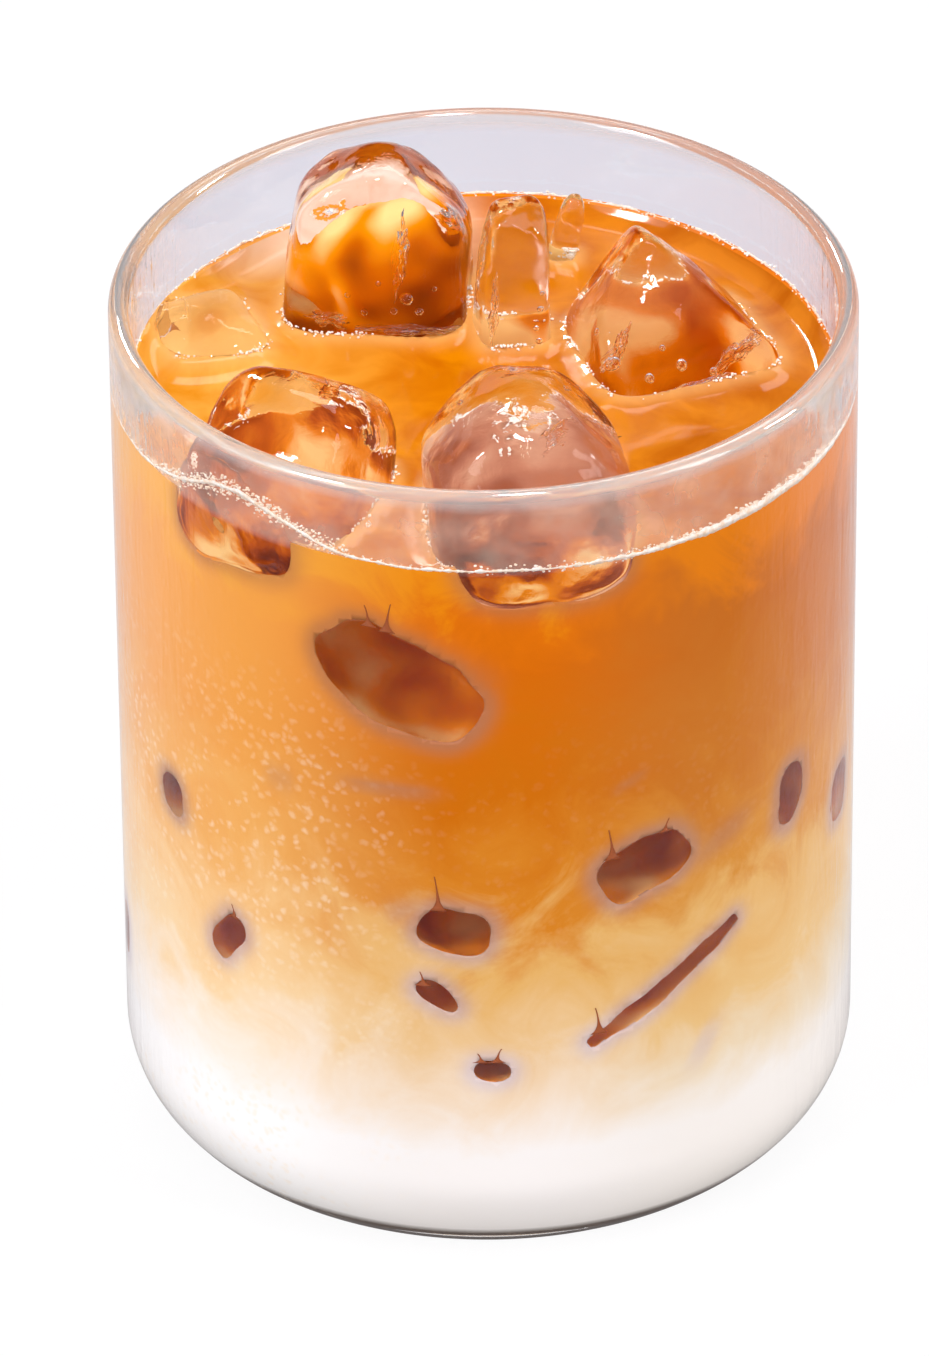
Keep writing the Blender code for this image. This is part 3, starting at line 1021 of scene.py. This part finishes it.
def air(centre, half, turn, crumple, seed):
    """A pocket of air: a ball of the given half sizes with its faces turned inwards."""
    pocket = bmesh.new()
    bmesh.ops.create_icosphere(pocket, subdivisions=4 if crumple else 3, radius=1)
    shift = Vector((seed, seed * 1.9, seed * 0.6))
    place = Matrix.Translation(Vector(centre) * MM) @ Euler([radians(a) for a in turn]).to_matrix().to_4x4()
    for vert in pocket.verts:
        vert.co *= 1 + crumple * noise.noise(vert.co * 2.2 + shift)
        vert.co = Vector(a * b * MM for a, b in zip(vert.co, half))
        vert.co += noise.noise_vector(vert.co / (1.1 * MM) + shift) * crumple * 0.35 * MM
    bmesh.ops.transform(pocket, matrix=place, verts=pocket.verts)
    bmesh.ops.reverse_faces(pocket, faces=pocket.faces)
    return pocket


# Vector noise draws its offsets by the clock unless it has a seed.
noise.seed_set(4)
pockets = [(centre, (size, size, size), (0, 0, 0), 0.0) for centre, size in BUBBLES]
pockets += [(*crack, 0.8) for crack in CRACKS]
for node, piece in standing.items():
    bm = bmesh.new()
    bm.from_mesh(piece.data)
    count = 0
    for seed, (centre, half, turn, crumple) in enumerate(pockets):
        gap, owner, inside = nearest_ice(Vector(centre) * MM, 20 * MM)
        if inside and owner == node and gap > min(half) * MM + 0.15 * MM:
            add_to(bm, air(centre, half, turn, crumple, seed))
            count += 1
    bm.to_mesh(piece.data)
    bm.free()
    print(node, "holds", count, "pockets of air")


# %% [markdown]
# One material serves all the ice, above the drink and in it. Lamps shine through it, as
# they do through the glass, and the air pockets need nothing more than their shape.

# %% The ice material
DIMPLE = 2.4 * MM


def clear_ice():
    material, tree = new_material("clear_water_ice")
    place = add_node(tree, "TexCoord").outputs["Object"]
    dimples = add_node(
        tree, "TexNoise", {}, {"Scale": 1 / DIMPLE, "Detail": 3.0, "Roughness": 0.5, "Distortion": 0.3},
        {"Vector": place},
    )
    bump = add_node(
        tree, "Bump", values={"Strength": 0.35, "Distance": 0.25 * MM}, links={"Height": dimples},
    )
    ice = add_node(
        tree, "BsdfPrincipled", values={"Roughness": 0.0, "IOR": 1.25, "Transmission Weight": 1.0},
        links={"Normal": bump},
    )
    ice.inputs["Base Color"].default_value = linear("FBFAFC")
    let_lamps_through(tree, ice)
    return material


ice_material = clear_ice()
for node, piece in standing.items():
    piece.data.materials.append(ice_material)
    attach(piece, "root")
    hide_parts(node)
sunk.data.materials.append(ice_material)
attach(sunk, "root")

# %% [markdown]
# ## The foam line
#
# The pour leaves a line of milk foam on the wall where the drink ends. It is thin in
# front, thick and ragged on the right, and it rises in a crust over the ice that leans
# on the wall at the left. It is a small square spun round the wall. Each of its points is
# then moved to the line's height and thickness there, which follow noise and the place.

# %% Spin the foam line
FOAM_STEPS = 1080
FOAM_LEVEL = LEVEL + CLIMB + 0.2 * MM
CRUST_AT = -42
CRUST_WIDTH = 13
RIGHT_AT = 50
RIGHT_WIDTH = 24


def foam_section(around):
    """Height of the line's middle, half its width and its thickness, at an angle in degrees."""
    turn = radians(around)
    place = Vector((sin(turn), cos(turn), 0))
    wave = noise.noise(place * 7)
    rough = noise.noise(place * 38 + Vector((0, 0, 5)))
    fine = noise.noise(place * 120 + Vector((0, 0, 9)))
    crust = exp(-((around - CRUST_AT) / CRUST_WIDTH) ** 2)
    right = exp(-((around - RIGHT_AT) / RIGHT_WIDTH) ** 2)
    middle = FOAM_LEVEL + (wave * 0.3 + rough * 0.12) * MM + crust * 4.0 * MM
    half = 0.14 + 0.42 * right + 0.16 * crust + 0.20 * rough + 0.16 * fine
    return middle, max(half, 0.05) * MM, (0.18 + 0.25 * right + 0.2 * crust) * MM


def foam_ring():
    """A square section spun round the wall, then set to the line's height, width and thickness."""
    bm = bmesh.new()
    square = ((0, -MM), (0, MM), (-MM, MM), (-MM, -MM))
    corners = [bm.verts.new((drink_radius + x, 0, z)) for x, z in square]
    edges = [bm.edges.new(pair) for pair in zip(corners, corners[1:] + corners[:1])]
    bmesh.ops.spin(
        bm, geom=corners + edges, cent=(0, 0, 0), axis=(0, 0, 1), angle=2 * pi,
        steps=FOAM_STEPS, use_merge=True, use_duplicate=False,
    )
    bmesh.ops.remove_doubles(bm, verts=bm.verts, dist=0.002 * MM)
    for vert in bm.verts:
        around = atan2(vert.co.x, -vert.co.y)
        middle, half, thick = foam_section(degrees(around))
        on_wall = vert.co.xy.length > drink_radius - 0.5 * MM
        reach = drink_radius if on_wall else drink_radius - thick
        half *= 1.0 if on_wall else 0.45
        high = middle + (half if vert.co.z > 0 else -half)
        vert.co = (sin(around) * reach, -cos(around) * reach, high)
    bmesh.ops.recalc_face_normals(bm, faces=bm.faces)
    return bm


# %% [markdown]
# Foam is milk round bubbles too small to see: matt, nearly white, with a fine roughness.

# %% The foam's material
FROTH = 0.7 * MM


def milk_foam():
    material, tree = new_material("milk_foam")
    place = add_node(tree, "TexCoord").outputs["Object"]
    froth = add_node(
        tree, "TexNoise", {}, {"Scale": 1 / FROTH, "Detail": 4.0, "Roughness": 0.6}, {"Vector": place},
    )
    colour = add_node(tree, "ValToRGB", links={0: froth}, stops=[(0.35, "F3D3B4"), (0.6, "FFF6EC")])
    bump = add_node(
        tree, "Bump", values={"Strength": 0.6, "Distance": 0.15 * MM}, links={"Height": froth},
    )
    foam = add_node(
        tree, "BsdfPrincipled",
        values={"Roughness": 0.6},
        links={"Base Color": colour, "Normal": bump},
    )
    add_node(tree, "OutputMaterial", links={"Surface": foam})
    return material


foam_material = milk_foam()
foam = mesh_object("foam_line", foam_ring(), foam_material)
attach(foam, "root")
print("foam line:", triangles(foam), "triangles")

# %% [markdown]
# The line breaks up into single bubbles, most of them in the crust at the left, on the
# right and where the surface meets ice. Each is a small ball at its true size, 0.1 to
# 0.45 mm across. Places are drawn at random from a fixed seed, so a second run gives the
# same ones.

# %% Scatter foam bubbles
LINE_BUBBLES = 2200
SHORE_BUBBLES = 1500
rng = random.Random(7)
foam_dots = bmesh.new()


def add_dot(place, radius):
    matrix = Matrix.Translation(place) @ Matrix.Diagonal((radius, radius, radius * 0.8, 1))
    bmesh.ops.create_icosphere(foam_dots, subdivisions=1, radius=1, matrix=matrix)


for _ in range(LINE_BUBBLES):
    around = rng.choice([rng.gauss(CRUST_AT, 11), rng.gauss(RIGHT_AT, 18), rng.uniform(-180, 180)])
    middle, half, thick = foam_section(around)
    turn = radians(around)
    spread = 1.1 * MM if abs(around - CRUST_AT) < 20 else 0.5 * MM
    size = rng.uniform(0.05, 0.2) * MM
    out = drink_radius - size - rng.random() * thick
    high = middle + rng.gauss(0, spread * 0.5)
    add_dot(Vector((sin(turn) * out, -cos(turn) * out, high)), size)

shore = []
for vert in drink.data.vertices:
    if vert.co.z > LEVEL - 0.2 * MM and vert.co.xy.length < drink_radius - 1 * MM:
        gap = nearest_ice(vert.co, 1 * MM)[0]
        if gap < 0.5 * MM and noise.noise(vert.co / (4 * MM)) > -0.05:
            shore.append(vert.co.copy())
for place in rng.sample(shore, min(SHORE_BUBBLES, len(shore))):
    size = rng.uniform(0.06, 0.20) * MM
    shake = Vector((rng.uniform(-1, 1), rng.uniform(-1, 1), 0.4)) * 0.3 * MM
    add_dot(place + shake, size)
dots = mesh_object("foam_bubbles", foam_dots, foam_material)
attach(dots, "root")
print("foam bubbles:", triangles(dots), "triangles on", len(shore), "places")

# %% [markdown]
# ## Floor, walls of light and lamps
#
# The drink stands on a white sweep in a bright studio. Clear things show only what is
# round them, so the studio is dressed as photographers dress it for glass: white where a
# clean tone is wanted, and dark at the sides, which draws the glass's grey edges.

# %% Make the stage
FLOOR_SIZE = 6.0
SHADE_SPAN = 60 * MM


def white_sweep():
    """White to the eye. What glass shows of it, and what mirrors show, is set apart, and under the glass a
    contact shadow is painted into what glass shows and into the light it gives off.
    """
    material, tree = new_material("white_paper_sweep")
    path = add_node(tree, "LightPath")
    place = add_node(tree, "TexCoord").outputs["Object"]
    radius = add_node(tree, "VectorMath", {"operation": "LENGTH"}, links={0: place})
    spread = add_node(
        tree, "Math", {"operation": "MULTIPLY"}, {1: 1 / SHADE_SPAN}, {0: radius.outputs["Value"]},
    )
    # Painted shadow: what the glass shows of the floor is dark under the glass and lighter further out.
    through_glass_painted_shadow = add_node(
        tree, "ValToRGB", links={0: spread},
        stops=[(0.5, "463830"), (0.64, "A0958C"), (0.9, "E8EAF3")],
    )
    axes = add_node(tree, "SeparateXYZ", links={0: place})
    off_side = add_node(tree, "Math", {"operation": "ABSOLUTE"}, links={0: axes})
    to_side = add_node(
        tree, "MapRange", values={1: 60 * MM, 2: 160 * MM, 3: 1.0, 4: 0.3}, links={0: off_side},
    )
    # Painted shadow: the light the floor gives off is dark under the glass.
    painted_shadow_under_glass = add_node(tree, "ValToRGB", links={0: spread}, stops=[(0.46, "1E1814"), (0.58, "FFFDFB")])
    behind = add_node(
        tree, "MapRange", values={1: -50 * MM, 2: 40 * MM, 3: 0.02, 4: 0.85}, links={0: axes.outputs[1]},
    )
    paper = add_node(tree, "BsdfDiffuse", values={"Color": linear("F4F3F5")})
    lit = add_node(tree, "Emission", values={"Color": linear("FFFFFF"), "Strength": 1.0})
    in_front = add_node(
        tree, "MapRange", values={1: -60 * MM, 2: -105 * MM, 3: 1.0, 4: 0.3}, links={0: axes.outputs[1]},
    )
    dimmed = add_node(tree, "Math", {"operation": "MULTIPLY"}, links={0: to_side, 1: in_front})
    through = add_node(tree, "Emission", links={"Color": through_glass_painted_shadow, "Strength": dimmed})
    dark = add_node(tree, "Emission", values={"Color": linear("F4EEF0")}, links={"Strength": behind})
    cast = add_node(tree, "Emission", values={"Strength": 0.86}, links={"Color": painted_shadow_under_glass})
    seen = add_node(tree, "MixShader", values={0: 0.85}, links={1: paper, 2: lit})
    by_diffuse = add_node(tree, "MixShader", links={0: path.outputs["Is Diffuse Ray"], 1: seen, 2: cast})
    by_mirror = add_node(
        tree, "MixShader",
        links={0: path.outputs["Is Glossy Ray"], 1: by_diffuse, 2: dark},
    )
    by_glass = add_node(
        tree, "MixShader",
        links={0: path.outputs["Is Transmission Ray"], 1: by_mirror, 2: through},
    )
    add_node(tree, "OutputMaterial", links={"Surface": by_glass})
    return material


bm = bmesh.new()
bmesh.ops.create_grid(bm, x_segments=1, y_segments=1, size=FLOOR_SIZE)
floor = mesh_object("floor", bm, white_sweep())


# %% [markdown]
# Three rectangles of light shine on the drink. The other four are glints: matt surfaces
# don't see them, so they only add bright reflections to the rim and the wet ice.

# %% Set the lamps
def softbox(name, place, wide, tall, watts, colour="FFFFFF", glint=False):
    """A rectangular lamp that points at the drink. A glint shows only as a reflection."""
    data = bpy.data.lights.new(name, "AREA")
    data.shape = "RECTANGLE"
    data.size = wide
    data.size_y = tall
    data.energy = watts
    data.color = linear(colour)[:3]
    lamp = bpy.data.objects.new(name, data)
    bpy.context.scene.collection.objects.link(lamp)
    aim = Vector((0, 0, 60 * MM)) - Vector(place)
    lamp.matrix_world = Matrix.Translation(place) @ aim.to_track_quat("-Z", "Y").to_matrix().to_4x4()
    lamp.visible_diffuse = not glint
    return lamp


softbox("key_left", (-0.75, -0.55, 0.75), 0.5, 0.7, 7.0)
softbox("fill_right", (0.85, -0.35, 0.6), 0.25, 0.8, 5.0)
softbox("top_back", (0.15, 0.7, 1.0), 0.6, 0.2, 2.6)
softbox("glint_left", (-0.62, -0.35, 0.85), 0.12, 0.3, 15.0, glint=True)
softbox("glint_back", (-0.25, 0.75, 0.62), 0.12, 0.08, 4.0, glint=True)
softbox("glint_right", (0.9, 0.15, 0.55), 0.08, 0.35, 9.0, glint=True)
softbox("glint_top", (0.1, -0.1, 1.2), 0.12, 0.12, 10.0, glint=True)

# %% [markdown]
# The room gives the soft light, and it is what rays meet that miss the floor. It is white
# to the camera. Glass shows it as upright bands that darken to the sides, and glossy skins
# show it dark below and grey above, so that the lamps stand out in them.

# %% Set the room
def room():
    world = bpy.data.worlds.new("studio")
    bpy.context.scene.world = world
    world.use_nodes = True
    tree = world.node_tree
    tree.nodes.clear()
    way = add_node(tree, "TexCoord").outputs["Generated"]
    axes = add_node(tree, "SeparateXYZ", links={0: way})
    sideways = add_node(tree, "Math", {"operation": "ABSOLUTE"}, links={0: axes})
    bands = add_node(
        tree, "ValToRGB", links={0: sideways},
        stops=[(0.0, "E2E4EE"), (0.4, "D2D0D4"), (0.75, "858078"), (1.0, "625E56")],
    )
    mirrored = add_node(
        tree, "ValToRGB", links={0: axes.outputs[2]},
        stops=[(0.0, "2A2728"), (0.55, "3A3637"), (0.8, "77737A"), (1.0, "B5B2BA")],
    )
    path = add_node(tree, "LightPath")
    soft = add_node(tree, "Background", values={"Color": linear("FDFBFF"), "Strength": 0.72})
    shown = add_node(tree, "Background", values={"Strength": 1.0}, links={"Color": mirrored})
    through = add_node(tree, "Background", values={"Strength": 1.0}, links={"Color": bands})
    white = add_node(tree, "Background", values={"Color": linear("FFFFFF"), "Strength": 1.0})
    by_mirror = add_node(tree, "MixShader", links={0: path.outputs["Is Glossy Ray"], 1: soft, 2: shown})
    by_glass = add_node(
        tree, "MixShader",
        links={0: path.outputs["Is Transmission Ray"], 1: by_mirror, 2: through},
    )
    second = add_node(tree, "MixShader", links={0: path.outputs["Is Camera Ray"], 1: by_glass, 2: white})
    add_node(tree, "OutputWorld", links={"Surface": second})


room()

# %% [markdown]
# ## Colour and light paths
#
# The Standard view keeps colours as they were chosen. Light that goes through the wall, the
# ice and the air in it crosses a dozen surfaces, so it may bend more often than is usual.

# %% Settings for rendering
scene = bpy.context.scene
scene.view_settings.view_transform = "Standard"
scene.view_settings.look = "None"
scene.cycles.max_bounces = 16
scene.cycles.transmission_bounces = 14
scene.cycles.transparent_max_bounces = 16
scene.cycles.glossy_bounces = 6
scene.cycles.diffuse_bounces = 3
scene.cycles.caustics_reflective = False
scene.cycles.caustics_refractive = False
scene.cycles.sample_clamp_indirect = 6.0
